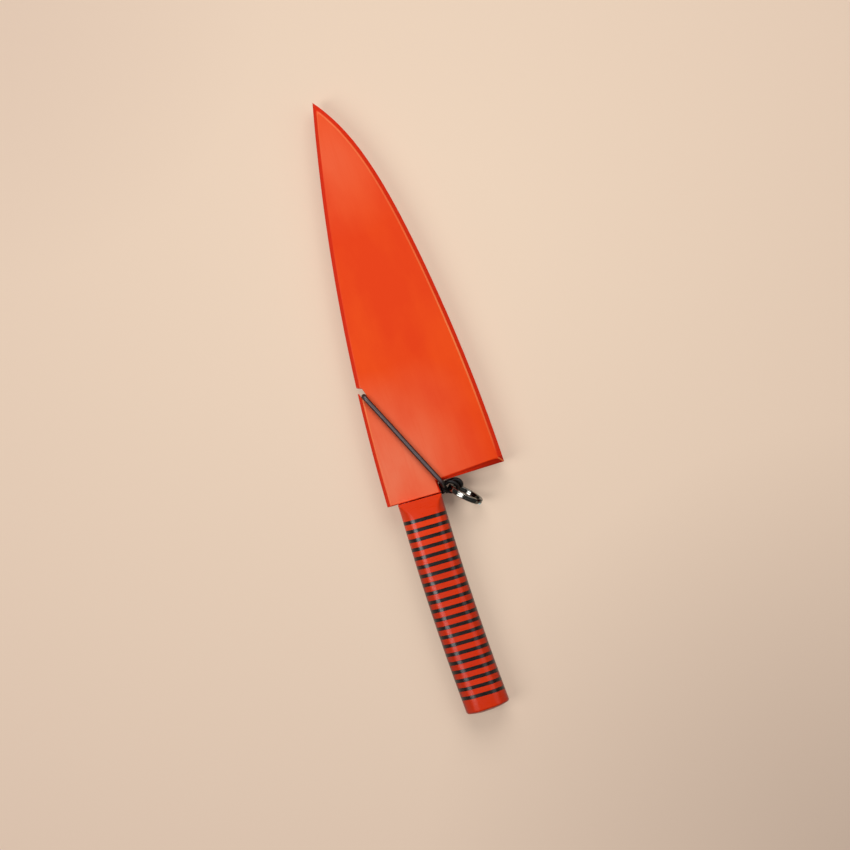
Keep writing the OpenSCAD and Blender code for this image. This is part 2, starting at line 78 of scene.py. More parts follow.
class Shader:
    """A small builder for one principled material."""

    def __init__(self, name, color, roughness, metallic=0.0):
        self.material = bpy.data.materials.new(name)
        self.material.use_nodes = True
        self.tree = self.material.node_tree
        self.bsdf = self.tree.nodes["Principled BSDF"]
        self.bsdf.inputs["Base Color"].default_value = (*color, 1)
        self.bsdf.inputs["Roughness"].default_value = roughness
        self.bsdf.inputs["Metallic"].default_value = metallic
        self.coordinates = self.node("ShaderNodeTexCoord").outputs["Object"]

    def node(self, kind, **values):
        made = self.tree.nodes.new(kind)
        for key, value in values.items():
            setattr(made, key, value)
        return made

    def link(self, source, target):
        self.tree.links.new(source, target)

    def noise(self, scale, stretch=(1, 1, 1), detail=4.0):
        """Noise with scale features to the metre, stretched along the axes."""
        mapping = self.node("ShaderNodeMapping")
        mapping.inputs["Scale"].default_value = stretch
        self.link(self.coordinates, mapping.inputs["Vector"])
        made = self.node("ShaderNodeTexNoise")
        made.inputs["Scale"].default_value = scale
        made.inputs["Detail"].default_value = detail
        self.link(mapping.outputs["Vector"], made.inputs["Vector"])
        return made.outputs["Fac"]

    def ramp(self, source, low, high, a=0.3, b=0.7):
        """A value running from low to high as the source goes from a to b."""
        made = self.node("ShaderNodeMapRange")
        made.inputs["From Min"].default_value = a
        made.inputs["From Max"].default_value = b
        made.inputs["To Min"].default_value = low
        made.inputs["To Max"].default_value = high
        self.link(source, made.inputs["Value"])
        return made.outputs["Result"]

    def colors(self, factor, a, b):
        """A blend of two colours by a factor: each is plain or comes from another node."""
        made = self.node("ShaderNodeMix", data_type="RGBA")
        for name, color in (("A", a), ("B", b)):
            if isinstance(color, tuple):
                made.inputs[name].default_value = (*color, 1)
            else:
                self.link(color, made.inputs[name])
        self.link(factor, made.inputs["Factor"])
        return made.outputs["Result"]

    def bump(self, source, distance, strength=1.0, after=None):
        """Bump of a distance in metres, on top of an earlier bump."""
        made = self.node("ShaderNodeBump")
        made.inputs["Distance"].default_value = distance
        made.inputs["Strength"].default_value = strength
        self.link(source, made.inputs["Height"])
        if after is not None:
            self.link(after, made.inputs["Normal"])
        self.link(made.outputs["Normal"], self.bsdf.inputs["Normal"])
        return made.outputs["Normal"]

    def near(self, point, high, inner, outer):
        """A value falling from high at the inner distance from a point to nothing at the outer one."""
        away = self.node("ShaderNodeVectorMath", operation="DISTANCE")
        away.inputs[1].default_value = point
        self.link(self.coordinates, away.inputs[0])
        return self.ramp(away.outputs["Value"], high, 0.0, inner, outer)

    def line(self, start, end, inner, outer):
        """A share along a short line, falling to nothing beside it and past its ends."""
        way = (end - start).normalized()
        from_start = self.node("ShaderNodeVectorMath", operation="SUBTRACT")
        self.link(self.coordinates, from_start.inputs[0])
        from_start.inputs[1].default_value = start
        beside = self.node("ShaderNodeVectorMath", operation="CROSS_PRODUCT")
        self.link(from_start.outputs["Vector"], beside.inputs[0])
        beside.inputs[1].default_value = way
        size = self.node("ShaderNodeVectorMath", operation="LENGTH")
        self.link(beside.outputs["Vector"], size.inputs[0])
        half = (end - start).length / 2
        return self.product(self.ramp(size.outputs["Value"], LINE_SHARE, 0.0, inner, outer),
                            self.near((start + end) / 2, 1.0, half, half + outer))

    def math(self, operation, a, b):
        made = self.node("ShaderNodeMath", operation=operation)
        self.link(a, made.inputs[0])
        self.link(b, made.inputs[1])
        return made.outputs["Value"]

    def product(self, *shares):
        """All the shares multiplied together."""
        made = shares[0]
        for share in shares[1:]:
            made = self.math("MULTIPLY", made, share)
        return made

    def upward(self, low, high):
        """One on level faces and nothing on steep ones, from the surface's own direction."""
        geometry = self.node("ShaderNodeNewGeometry")
        parts = self.node("ShaderNodeSeparateXYZ")
        self.link(geometry.outputs["Normal"], parts.inputs["Vector"])
        level = self.node("ShaderNodeMath", operation="ABSOLUTE")
        self.link(parts.outputs["Z"], level.inputs[0])
        return self.ramp(level.outputs["Value"], 0.0, 1.0, low, high)

    def across(self, axis, low, high):
        """Nothing up to one place along an axis of the knife and one from the other, in millimetres."""
        parts = self.node("ShaderNodeSeparateXYZ")
        self.link(self.coordinates, parts.inputs["Vector"])
        start = neck_x if axis == "X" else neck_y
        return self.ramp(parts.outputs[axis], 0.0, 1.0, start + low * MM, start + high * MM)

    def base(self, source):
        self.link(source, self.bsdf.inputs["Base Color"])

    def rough(self, source):
        self.link(source, self.bsdf.inputs["Roughness"])


LINE_SHARE = 0.75

# Stretches of the guard's front for its painted highlight and heel light and shade, as the place where a
# share starts and the place where it is full
BELLY_X, BELLY_Y = (8, 20), (11, 16)
NECK_X, NECK_Y = (10, 0), (72, 60)
FADE_TO_TIP, FADE_TO_HEEL = (100, 170), (15, 60)
HEEL_X, HEEL_Y = (11, 14), (9.2, 8.4)
HEEL_NECK_X, HEEL_CORNER_X = (42, 16), (28, 48)
# Painted light and shade on the heel's bevel: lighter toward the neck, darker toward the corner.
HEEL_NECK_PAINTED_LIGHT = (0.96, 0.03, 0.001)
HEEL_CORNER_PAINTED_SHADE = (0.46, 0.012, 0.001)
HEEL_CORNER_LOW = (50.8, 5.8, 13.8)
HEEL_CORNER_HIGH = (47.9, 8.7, FRONT_Z)
# Widths of the painted highlight line along the heel's mitre
MITRE_INNER, MITRE_OUTER = 0.0002, 0.0006


def heel_mitre():
    """The two ends of the corner line between the belly's bevel and the heel's."""
    corners = [v.co for v in nodes["front_cover"].data.vertices]
    return [Vector(min(corners, key=lambda c: (c - place(*guess)).length))
            for guess in (HEEL_CORNER_LOW, HEEL_CORNER_HIGH)]


def painted_edge_highlight(made, mottling):
    """The share of painted highlight along the front face's eased edges: the belly's, the neck's and the
    heel's mitre.
    """
    belly = made.product(made.across("X", *BELLY_X), made.across("Y", *BELLY_Y))
    neck = made.product(made.across("X", *NECK_X), made.across("Y", *NECK_Y))
    rounding = made.product(made.upward(0.82, 0.90), made.upward(0.998, 0.98))
    rim = made.product(rounding, made.math("MAXIMUM", belly, neck),
                       made.ramp(mottling, 1.0, 0.5, 0.35, 0.65),
                       made.ramp(made.across("Y", *FADE_TO_TIP), 1.0, 0.75, 0, 1),
                       made.ramp(made.across("Y", *FADE_TO_HEEL), 0.5, 1.0, 0, 1))
    return made.math("MAXIMUM", rim, made.line(*heel_mitre(), MITRE_INNER, MITRE_OUTER))


def painted_wood(name, side, face, dark, sheen_color, painted_sheen, edge_highlight=None):
    """Satin paint over fine-grained wood, with painted shade on its bevels and painted sheen on its face.
    The sheen patches paint more sheen in places.

    With an edge highlight colour, it also has a painted highlight along the front board's eased edges,
    and painted light and shade on the heel's bevel."""
    made = Shader(name, face, 0.48)
    made.bsdf.inputs["Specular IOR Level"].default_value = 0.16
    mottling = made.noise(42, (1, 0.45, 1), detail=7)
    grain = made.noise(75, (9, 0.35, 9), detail=6)
    pores = made.noise(260, (5, 0.3, 5), detail=3)
    tone = made.colors(made.ramp(mottling, 0, 1, 0.40, 0.62), face, dark)
    # Painted sheen: paler patches on the front board, where light is reflected.
    sheen_share = None
    for point, amount, inner, outer in painted_sheen:
        patch = made.near(point, amount, inner, outer)
        sheen_share = patch if sheen_share is None else made.math("MAXIMUM", sheen_share, patch)
    if sheen_share is not None:
        sheen_share = made.product(sheen_share, made.ramp(mottling, 1.2, 0.65, 0.38, 0.62))
        tone = made.colors(sheen_share, tone, sheen_color)
    tone = made.colors(made.ramp(grain, 0, 0.2, 0.52, 0.78), tone, dark)
    # Painted shade on the steep bevels and painted sheen on the level face, chosen by the surface's
    # direction.
    tone = made.colors(made.upward(0.88, 0.985), side, tone)
    if edge_highlight is not None:
        # Painted light toward the neck and painted shade toward the corner on the heel's bevel.
        heel = made.product(made.across("Y", *HEEL_Y), made.across("X", *HEEL_X),
                            made.upward(0.985, 0.88))
        tone = made.colors(made.product(heel, made.across("X", *HEEL_NECK_X)), tone, HEEL_NECK_PAINTED_LIGHT)
        tone = made.colors(made.product(heel, made.across("X", *HEEL_CORNER_X)), tone, HEEL_CORNER_PAINTED_SHADE)
        # Painted highlight along the front face's eased edges.
        tone = made.colors(painted_edge_highlight(made, mottling), tone, edge_highlight)
    made.base(tone)
    made.rough(made.ramp(mottling, 0.42, 0.54))
    normal = made.bump(grain, 0.00004, 0.5)
    made.bump(pores, 0.00003, 0.5, normal)
    return made.material


# Stretches of the handle: painted light toward the guard, and no painted shade on its left flank there
PAINTED_LIGHT_Y = (-42, -12)
UNSHADED_FLANK_X, UNSHADED_FLANK_Y = (2, -6), (-50, -5)


def laminate(name, color, dark, roughness, gloss, painted_shade, painted_light=None):
    """Sanded and oiled laminate with fine cross-wise fibres, with painted shade on its steep sides
    and painted light near the guard.
    """
    made = Shader(name, color, roughness)
    made.bsdf.inputs["Specular IOR Level"].default_value = gloss
    fibres = made.noise(340, (1, 6, 1), detail=4)
    cloud = made.noise(60, detail=4)
    tone = made.colors(made.ramp(cloud, 0, 1, 0.35, 0.7), color, dark)
    # Painted light: paler toward the guard.
    if painted_light is not None:
        tone = made.colors(made.across("Y", *PAINTED_LIGHT_Y), tone, painted_light)
    # Painted shade on the steep sides, left out on the left flank near the guard.
    unshaded_flank = made.product(made.across("Y", *UNSHADED_FLANK_Y), made.across("X", *UNSHADED_FLANK_X))
    level = made.math("MAXIMUM", made.upward(0.42, 0.88), unshaded_flank)
    made.base(made.colors(level, painted_shade, tone))
    made.rough(made.ramp(fibres, roughness - 0.06, roughness + 0.08))
    made.bump(fibres, 0.00003, 0.6)
    return made.material


def brushed_steel(name):
    """Steel ground across the blade, with fine scratches."""
    made = Shader(name, (0.62, 0.63, 0.65), 0.26, metallic=1.0)
    scratches = made.noise(500, (0.06, 14, 1), detail=5)
    cloud = made.noise(40, detail=3)
    made.base(made.colors(made.ramp(cloud, 0, 1), (0.60, 0.61, 0.63), (0.70, 0.70, 0.71)))
    made.rough(made.ramp(scratches, 0.2, 0.36))
    made.bump(scratches, 0.00001, 0.6)
    return made.material


# Darker than real chrome: a painted dark reflection of the room around it.
CHROME_COLOR = (0.28, 0.28, 0.255)
PAINTED_DARK_REFLECTIONS = (
    ((32.2, -11.2, 12), 0.0045, 0.0075, (0.055, 0.07, 0.066)),
    ((21.2, 1.2, 12), 0.0012, 0.0035, (0.025, 0.024, 0.022)),
)


def polished_chrome(name):
    """Chrome plate with faint handling marks, with painted dark reflections at the ring's far end and at
    the cord.
    """
    made = Shader(name, CHROME_COLOR, 0.07, metallic=1.0)
    tone = CHROME_COLOR
    # Painted dark reflections: darker patches at the ring's far end and next to the cord.
    for point, inner, outer, color in PAINTED_DARK_REFLECTIONS:
        tone = made.colors(made.near(place(*point), 1.0, inner, outer), tone, color)
    made.base(tone)
    marks = made.noise(900, (1, 1, 1), detail=3)
    made.rough(made.ramp(marks, 0.05, 0.14))
    return made.material


def elastic_cover(name, roughness, gloss, painted_sheen=None):
    """The tight woven cover of an elastic cord, with a painted grey sheen on its top."""
    made = Shader(name, (0.009, 0.007, 0.007), roughness)
    made.bsdf.inputs["Specular IOR Level"].default_value = gloss
    threads = made.node("ShaderNodeTexVoronoi")
    threads.inputs["Scale"].default_value = 2300
    made.link(made.coordinates, threads.inputs["Vector"])
    weave = made.ramp(threads.outputs["Distance"], 0, 1, 0.1, 0.8)
    tone = made.colors(weave, (0.011, 0.007, 0.006), (0.005, 0.004, 0.004))
    # Painted sheen: greyer on the cord's upward faces.
    if painted_sheen is not None:
        tone = made.colors(made.upward(0.66, 0.98), tone, painted_sheen)
    made.base(tone)
    made.rough(made.ramp(weave, roughness, roughness + 0.08, 0.0, 1.0))
    made.bump(threads.outputs["Distance"], 0.00004, 0.4)
    return made.material


SHADOW_FILL = 0.42
CONTACT_FILL = 0.25 * SHADOW_FILL
# Painted light and shade on the paper: a pale pool in the middle, darker spots at lower right and upper
# left.
PAINTED_LIGHT_MIDDLE = ((50, 130, 0), 0.05, 0.42)
PAINTED_SHADE_LOWER_RIGHT = ((178, -288, 0), 0.03, 0.26)
LOWER_RIGHT_SHADE = 0.80
PAINTED_SHADE_UPPER_LEFT = ((-150, 350, 0), 0.0, 0.17)
PAINTED_SHADE_UPPER_LEFT_SHARE = 0.9
BESIDE_KNOT = ((19, -2.5, 0), 0.005, 0.026)


def paper(name, color, edge):
    """Matt coloured paper with a painted pool of light in the middle and painted shade toward its edges.
    It glows where it is seen, painted light that partly fills in its shadows, less so beside the knot."""
    made = Shader(name, color, 0.92)
    made.bsdf.inputs["Specular IOR Level"].default_value = 0.1

    def patch(spot, share=1.0):
        point, inner, outer = spot
        return made.near(place(*point), share, inner, outer)

    # Painted light in the middle and painted shade at the lower right and upper left.
    tone = made.colors(made.ramp(patch(PAINTED_LIGHT_MIDDLE), 1.0, 0.0, 0.0, 1.0), color, edge)
    tone = made.colors(patch(PAINTED_SHADE_LOWER_RIGHT), tone, tuple(LOWER_RIGHT_SHADE * c for c in edge))
    tone = made.colors(patch(PAINTED_SHADE_UPPER_LEFT, PAINTED_SHADE_UPPER_LEFT_SHARE), tone, edge)
    made.base(tone)
    made.bump(made.noise(900, detail=3), 0.00004, 0.3)
    # The glow is painted light that partly fills in the paper's shadows.
    glow = made.node("ShaderNodeEmission")
    made.link(tone, glow.inputs["Color"])
    rays = made.node("ShaderNodeLightPath")
    seen = made.math("MAXIMUM", rays.outputs["Is Camera Ray"], rays.outputs["Is Glossy Ray"])
    seen = made.math("MAXIMUM", seen, rays.outputs["Is Transmission Ray"])
    share = made.product(seen, made.ramp(patch(BESIDE_KNOT), SHADOW_FILL, CONTACT_FILL, 0.0, 1.0))
    mix = made.node("ShaderNodeMixShader")
    made.link(share, mix.inputs["Fac"])
    made.link(made.bsdf.outputs["BSDF"], mix.inputs[1])
    made.link(glow.outputs["Emission"], mix.inputs[2])
    output = next(n for n in made.tree.nodes if n.type == "OUTPUT_MATERIAL")
    made.link(mix.outputs["Shader"], output.inputs["Surface"])
    return made.material


# Painted sheen: place, share and reach of each paler patch on the front face.
PAINTED_SHEEN_PLACES = (
    (place(-12, 18, FRONT_Z), 1.0, 0.006, 0.058),
    (place(14, 190, FRONT_Z), 0.34, 0.004, 0.045),
    (place(16, 46, FRONT_Z), 0.30, 0.004, 0.03),
)
# Colours: the bevels' painted shade, the face with painted sheen, mottling, sheen patches, edge highlight.
PAINT = painted_wood("guard_paint", (0.71, 0.022, 0.001), (0.85, 0.068, 0.003), (0.80, 0.048, 0.001),
                     (0.84, 0.165, 0.075), PAINTED_SHEEN_PLACES, (0.88, 0.20, 0.055))
CORE_PAINT = painted_wood("core_paint", (0.60, 0.022, 0.001), (0.60, 0.022, 0.001), (0.56, 0.02, 0.001),
                          (0.6, 0.1, 0.03), ())
# The fifth colour is painted shade on the steep sides; the last is painted light toward the guard.
ORANGE = laminate("handle_orange", (0.68, 0.033, 0.001), (0.61, 0.025, 0.001), 0.32, 0.34,
                  (0.26, 0.009, 0.001), (0.80, 0.043, 0.001))
BOLSTER_ORANGE = laminate("bolster_orange", (0.66, 0.031, 0.001), (0.60, 0.025, 0.001), 0.32, 0.34,
                          (0.36, 0.013, 0.001), (0.76, 0.036, 0.001))
BLACK = laminate("handle_black", (0.009, 0.005, 0.004), (0.006, 0.004, 0.003), 0.3, 0.62,
                 (0.005, 0.003, 0.003))
STEEL = brushed_steel("blade_steel")
CHROME = polished_chrome("chrome")
# The last colour is the painted grey sheen on the strand's top.
STRAND = elastic_cover("elastic_strand", 0.26, 0.5, (0.10, 0.069, 0.072))
KNOTTED = elastic_cover("elastic_knotted", 0.38, 0.3)
# The second colour is the painted shade toward the paper's edges.
PAPER = paper("paper", (0.845, 0.66, 0.505), (0.72, 0.55, 0.43))


# Mesh helpers


def new_object(name, points, faces, material, smooth_angle=35):
    """A mesh object with outward normals, smooth but for its sharp edges."""
    mesh = bpy.data.meshes.new(name)
    mesh.from_pydata([tuple(p) for p in points], [], faces)
    piece = bpy.data.objects.new(name, mesh)
    bpy.context.scene.collection.objects.link(piece)
    work = bmesh.new()
    work.from_mesh(mesh)
    bmesh.ops.recalc_face_normals(work, faces=work.faces)
    work.to_mesh(mesh)
    work.free()
    smooth(piece, smooth_angle)
    mesh.materials.append(material)
    return piece


def smooth(piece, angle):
    """Smooth shading with edges sharper than the angle kept sharp."""
    piece.data.shade_smooth()
    piece.data.set_sharp_from_angle(angle=math.radians(angle))


def loft(name, loops, material, smooth_angle=35):
    """A skin over loops with equally many points, capped at both ends."""
    n = len(loops[0])
    points = [p for loop in loops for p in loop]
    count = len(loops)
    faces = []
    for i in range(count - 1):
        a, b = i * n, (i + 1) * n
        for k in range(n):
            q = (k + 1) % n
            faces.append((a + k, a + q, b + q, b + k))
    faces.append(tuple(range(n)))
    faces.append(tuple(range((count - 1) * n, count * n)))
    return new_object(name, points, faces, material, smooth_angle)


def spline(points, step):
    """A smooth curve through points, as points about one step apart."""
    made = []
    for i in range(len(points) - 1):
        p0 = points[max(i - 1, 0)]
        p1, p2 = points[i], points[i + 1]
        p3 = points[min(i + 2, len(points) - 1)]
        n = max(2, math.ceil((p2 - p1).length / step))
        for k in range(n):
            t = k / n
            made.append(0.5 * (2 * p1 + (p2 - p0) * t + (2 * p0 - 5 * p1 + 4 * p2 - p3) * t * t
                               + (3 * p1 - p0 - 3 * p2 + p3) * t * t * t))
    made.append(points[-1])
    return made


def sweep(name, path, section, side, material, smooth_angle=50):
    """A section, given across and along the side direction, swept along a path."""
    loops = []
    count = len(path)
    for i, p in enumerate(path):
        ahead = path[min(i + 1, count - 1)]
        behind = path[max(i - 1, 0)]
        way = (ahead - behind).normalized()
        across = side(i) if callable(side) else side
        u = (across - way * across.dot(way)).normalized()
        v = way.cross(u)
        loops.append([p + u * a + v * b for a, b in section])
    return loft(name, loops, material, smooth_angle)


def round_section(radius, sides=20):
    return [(radius * math.cos(2 * math.pi * k / sides), radius * math.sin(2 * math.pi * k / sides))
            for k in range(sides)]


def add_modifier(piece, kind, **values):
    made = piece.modifiers.new(kind.lower(), kind)
    for key, value in values.items():
        setattr(made, key, value)
    return made


# The guard: boards and core strips with eased edges


FACE_EDGE = 0.0008
WALL_EDGE = 0.0004
CORNER_EDGE = 0.0003
GLUED_EDGE = 0.0001
LEVEL = 0.00001
FLAT_ANGLE = math.radians(0.3)
SHARP_ANGLE = math.radians(20)
NOTCH_MIDDLE = (-12, 66, 0)
NOTCH_REACH = 0.0062
# Corners this close to the tip of their level leave no room for its rounding and are taken out
TIP_CLEAR = 0.0018
# The front face's own tip lies within this distance of the outline's
TIP_SETBACK = 0.01


def clear_tip(work):
    """Take out the corners that crowd the tip of each level, and return the outline's tip."""
    tips = {}
    for v in work.verts:
        level = round(v.co.z, 4)
        tips[level] = max(tips.get(level, -1.0), v.co.y)
    last = max(tips.values())
    crowded = set()
    for v in work.verts:
        tip = tips[round(v.co.z, 4)]
        if LEVEL < tip - v.co.y < TIP_CLEAR and tip > last - TIP_SETBACK:
            crowded.add(v)
    upright = [e for e in work.edges
               if crowded & set(e.verts) and abs(e.verts[0].co.z - e.verts[1].co.z) > LEVEL]
    bmesh.ops.dissolve_edges(work, edges=upright)
    bmesh.ops.dissolve_verts(work, verts=[v for v in work.verts if len(v.link_edges) == 2])
    return last


def eased_copy(node, name, material):
    """A finer copy of a CAD board whose edges are rounded, each by its own width."""
    piece = bpy.data.objects.new(name, nodes[node].data.copy())
    bpy.context.scene.collection.objects.link(piece)
    mesh = piece.data
    work = bmesh.new()
    work.from_mesh(mesh)
    bmesh.ops.remove_doubles(work, verts=work.verts, dist=1e-6)
    bmesh.ops.dissolve_limit(work, angle_limit=FLAT_ANGLE, verts=work.verts, edges=work.edges)
    tip = clear_tip(work)
    weight = work.edges.layers.float.new("bevel_weight_edge")
    seams = (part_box("spine_strip")[0].z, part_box("spine_strip")[1].z)
    faces_z = (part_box("front_cover")[1].z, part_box("back_cover")[0].z)
    notch = place(*NOTCH_MIDDLE)

    def lie_at(ends, levels):
        return any(all(abs(e.z - z) < LEVEL for e in ends) for z in levels)

    for edge in work.edges:
        if len(edge.link_faces) != 2 or edge.calc_face_angle(0) < SHARP_ANGLE:
            continue
        ends = [v.co for v in edge.verts]
        flat = abs(ends[0].z - ends[1].z) < LEVEL
        if not flat and max(e.y for e in ends) > tip - LEVEL:
            continue
        in_notch = all(e.x > notch.x and math.hypot(e.x - notch.x, e.y - notch.y) < NOTCH_REACH
                       for e in ends)
        if lie_at(ends, seams):
            width = GLUED_EDGE
        elif in_notch or not flat:
            width = CORNER_EDGE
        elif lie_at(ends, faces_z):
            width = FACE_EDGE
        else:
            width = WALL_EDGE
        edge[weight] = width / FACE_EDGE
    work.to_mesh(mesh)
    work.free()
    mesh.materials.clear()
    mesh.materials.append(material)
    smooth(piece, 30)
    add_modifier(piece, "BEVEL", width=FACE_EDGE, segments=5, limit_method="WEIGHT", harden_normals=True,
                 use_clamp_overlap=False)
    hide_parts(node)
    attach(piece, "guard")
    return piece


def make_guard():
    for node, name in (("front_cover", "front_board"), ("back_cover", "back_board")):
        eased_copy(node, name, PAINT)
    for node, name in (("spine_strip", "spine_core"), ("edge_strip", "edge_core")):
        eased_copy(node, name, CORE_PAINT)


# The handle: its rounded octagon along a shallow bow, cut by slanted planes, as in the construction

FACET = 4.6
FACET_ROUND = 5.0
BUTT_FACET = 5.8
BUTT_FACET_ROUND = 6.0
SLANT = math.tan(math.radians(2.7))
BOW_RADIUS = 1430.0
BOLSTER_LENGTH = 9.8
BLACK_THICKNESS = 2.0
ORANGE_THICKNESS = 3.0
CAP_LENGTH = 9.2
CAP_LEAN = math.tan(math.radians(-0.6))
CAP_RIM = 1.4
CAP_DOME = 1.4
BOW_MIDDLE = -70
BOW_SIDE = 0.5
CROWN = 0.35
OVAL_POWER = 2.5
RING_EDGE = 0.05


def bow_x(y):
    return (y - BOW_MIDDLE) ** 2 / (2 * BOW_RADIUS) - BOW_SIDE


HANDLE_START = 1.05 - bow_x(0) * SLANT - 0.3
RINGS_START = HANDLE_START - BOLSTER_LENGTH
PITCH = BLACK_THICKNESS + ORANGE_THICKNESS
CAP_START = RINGS_START - len(BLACK_RINGS) * PITCH + ORANGE_THICKNESS


def octagon(facet):
    w, t = HALF_W, HALF_T
    return [(w - facet, -t), (w, -t + facet), (w, t - facet), (w - facet, t),
            (-w + facet, t), (-w, t - facet), (-w, -t + facet), (-w + facet, -t)]


def rounded(p):
    """The scale that brings a point of the section onto a smooth oval of the same width and height."""
    return (abs(p.x / HALF_W) ** OVAL_POWER + abs(p.y / HALF_T) ** OVAL_POWER) ** (-1 / OVAL_POWER)


def handle_section(y, facet=None, inset=0.0, steps=8):
    """The handle's outline at y, as points round its rounded octagon, drawn in by the inset.

    Without a facet of its own it grows wider and rounder from the first ring to the butt, where the
    cap's end leans less than the rings do."""
    along = (RINGS_START - y) / (RINGS_START - CAP_START + CAP_LENGTH)
    lean = SLANT + (CAP_LEAN - SLANT) * max(0, (CAP_START - y) / CAP_LENGTH)
    radius = FACET_ROUND + (BUTT_FACET_ROUND - FACET_ROUND) * along
    if facet is None:
        facet = FACET + (BUTT_FACET - FACET) * along
    else:
        radius = FACET_ROUND * facet / FACET
    corners = [Vector(c) for c in octagon(facet)]
    loop = []
    for i, c in enumerate(corners):
        a = (corners[i - 1] - c).normalized()
        b = (corners[(i + 1) % 8] - c).normalized()
        half = a.angle(b) / 2
        centre = c + (a + b).normalized() * radius / math.sin(half)
        start = (c + a * radius / math.tan(half)) - centre
        turn = math.pi - 2 * half
        for k in range(steps + 1):
            angle = turn * k / steps
            loop.append(centre + Vector((start.x * math.cos(angle) - start.y * math.sin(angle),
                                         start.x * math.sin(angle) + start.y * math.cos(angle))))
    crown = CROWN * min(1, max(0, (HANDLE_START - y) / BOLSTER_LENGTH)) ** 2
    loop = [p * (1 - crown + crown * rounded(p)) for p in loop]
    kx, kz = 1 - inset / HALF_W, 1 - inset / HALF_T
    return [place(bow_x(y) + p.x * kx, y - p.x * kx * lean, MID_Z + p.y * kz) for p in loop]


def handle_piece(node, name, material, high, thickness):
    """One ring of the handle, with its edges only just broken."""
    low = high - thickness
    loops = [handle_section(low, inset=RING_EDGE), handle_section(low + RING_EDGE),
             handle_section(high - RING_EDGE), handle_section(high, inset=RING_EDGE)]
    piece = loft(name, loops, material, 40)
    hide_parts(node)
    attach(piece, "knife")


def make_bolster():
    """Square at the guard, with facets that run out in a curve."""
    levels = 20
    loops = [handle_section(RINGS_START, FACET, RING_EDGE)]
    for i in range(levels + 1):
        t = i / levels
        facet = max(0.1, FACET * (1 - t ** 1.5))
        loops.append(handle_section(RINGS_START + RING_EDGE + (BOLSTER_LENGTH - 0.2) * t, facet))
    loops.append(handle_section(HANDLE_START, 0.1, 0.15))
    piece = loft("bolster_block", loops, BOLSTER_ORANGE, 30)
    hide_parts("bolster")
    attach(piece, "knife")


def make_end_cap():
    """The butt block, with a gently domed and rounded end."""
    straight = CAP_LENGTH - CAP_DOME - CAP_RIM
    steps = 8
    loops = [handle_section(CAP_START, inset=RING_EDGE), handle_section(CAP_START - RING_EDGE)]
    for i in range(steps + 1):
        angle = math.pi / 2 * i / steps
        loops.append(handle_section(CAP_START - straight - CAP_RIM * math.sin(angle),
                                    inset=CAP_RIM * (1 - math.cos(angle))))
    for t in (0.1, 0.2, 0.3, 0.4, 0.5, 0.6, 0.7, 0.8, 0.9, 0.97):
        loops.append(handle_section(CAP_START - CAP_LENGTH + CAP_DOME * (1 - t) ** 2,
                                    inset=CAP_RIM + t * (HALF_T - CAP_RIM)))
    piece = loft("butt_block", loops, BOLSTER_ORANGE, 40)
    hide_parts("end_cap")
    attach(piece, "knife")


def make_handle():
    make_bolster()
    for i, node in enumerate(BLACK_RINGS):
        handle_piece(node, f"black_spacer_{i + 1:02d}", BLACK,
                     RINGS_START - i * PITCH, BLACK_THICKNESS)
    for i, node in enumerate(ORANGE_RINGS):
        handle_piece(node, f"orange_spacer_{i + 1:02d}", ORANGE,
                     RINGS_START - i * PITCH - BLACK_THICKNESS, ORANGE_THICKNESS)
    make_end_cap()


# The blade, drawn over the stations of the CAD blade

BLADE_HEEL = 11.2
BLADE_LEAST = 0.0005
BLADE_STEP = 0.0004
BLADE_EDGE = 0.0002
BLADE_TAPER = (0.35, 0.05)
BLADE_NECK = (0.1, 12.5)
BLADE_NECK_WIDTH = 18
TANG_SIDE, TANG_TOP = 4, 1.5
# The blade's half thickness from its back to its edge, as shares of the width and of the thickness
BLADE_PROFILE = (
    (0.0, 0.8), (0.006, 1.0), (0.42, 0.96), (0.72, 0.62), (0.93, 0.30), (0.965, 0.22), (1.0, 0.06),
)


def make_blade():
    """The ground blade with its neck and tang, which carry on where the CAD blade's do."""
    stations = {}
    heel = neck_y + BLADE_HEEL * MM
    for vertex in nodes["blade"].data.vertices:
        if vertex.co.y > heel:
            key = round(vertex.co.y, 6)
            low, high = stations.get(key, (1.0, -1.0))
            stations[key] = (min(low, vertex.co.x), max(high, vertex.co.x))
    rows = [(y, low, high) for y, (low, high) in sorted(stations.items()) if high - low > BLADE_LEAST]
    rows = [r for i, r in enumerate(rows) if i == 0 or r[0] - rows[i - 1][0] > BLADE_STEP]
    tip_y, tip_low, tip_high = max((y, low, high) for y, (low, high) in stations.items())
    tip = Vector(((tip_low + tip_high) / 2, tip_y, MID_Z * MM))
    half = (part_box("blade")[1].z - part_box("blade")[0].z) / 2
    loops = []
    for y, low, high in rows:
        width = high - low
        least, full_width = BLADE_TAPER
        thick = max(BLADE_EDGE * 1.5, half * min(1.0, least + width / full_width))
        upper = [Vector((low + width * s, y, MID_Z * MM + max(BLADE_EDGE, thick * t)))
                 for s, t in BLADE_PROFILE]
        lower = [Vector((p.x, p.y, 2 * MID_Z * MM - p.z)) for p in reversed(upper)]
        loops.append(upper + lower)
    last = loops[-1]
    loops.append([tip + (p - tip) * 0.05 for p in last])
    piece = loft("blade_body", loops, STEEL, 20)
    low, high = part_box("blade")
    neck_low = min(v.co.x for v in nodes["blade"].data.vertices if v.co.y > heel)
    spine_side = (neck_low - neck_x) / MM
    z0, z1 = low.z / MM, high.z / MM
    neck = box_piece("blade_neck", (spine_side, BLADE_NECK[0], z0),
                     (spine_side + BLADE_NECK_WIDTH, BLADE_NECK[1], z1), STEEL)
    tang = box_piece("blade_tang", (-TANG_SIDE, (low.y - neck_y) / MM, z0),
                     (TANG_SIDE, TANG_TOP, z1), STEEL)
    for made in (piece, neck, tang):
        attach(made, "knife")
    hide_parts("blade")


